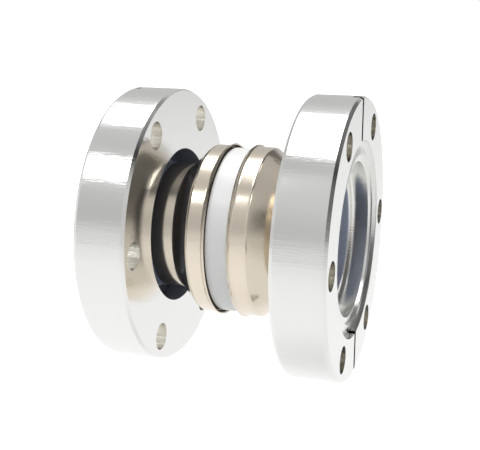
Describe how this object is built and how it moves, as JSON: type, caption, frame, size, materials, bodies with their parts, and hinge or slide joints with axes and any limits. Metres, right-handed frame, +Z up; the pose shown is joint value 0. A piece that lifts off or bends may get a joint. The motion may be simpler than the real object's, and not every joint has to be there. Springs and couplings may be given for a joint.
{
  "type": "ceramic vacuum break",
  "caption": "Electrical isolator for a vacuum line: an alumina ring brazed between two thin metal cups, with a bolted knife-edge flange at each end.",
  "frame": {"origin": "middle of the unit, on the tube axis", "axes": "+X along the tube axis towards the right flange, +Z up through the leak-check grooves"},
  "size_m": [0.059, 0.0694, 0.0694],
  "materials": {
    "flange_steel": "turned and brushed",
    "collar_steel": "bright turned, heat tinted",
    "weld_bead": "as welded",
    "cup_alloy": "polished nickel-iron",
    "braze": "silver-copper braze",
    "alumina": "fine matt to satin"
  },
  "bodies": {
    "root": {"left_flange": "flange_steel", "right_flange": "flange_steel", "left_collar": "collar_steel", "right_collar": "collar_steel", "left_bore_weld": "weld_bead", "right_bore_weld": "weld_bead", "left_cup": "cup_alloy", "right_cup": "cup_alloy", "left_braze_ring": "braze", "right_braze_ring": "braze", "ceramic_ring": "alumina"}
  },
  "joints": []
}
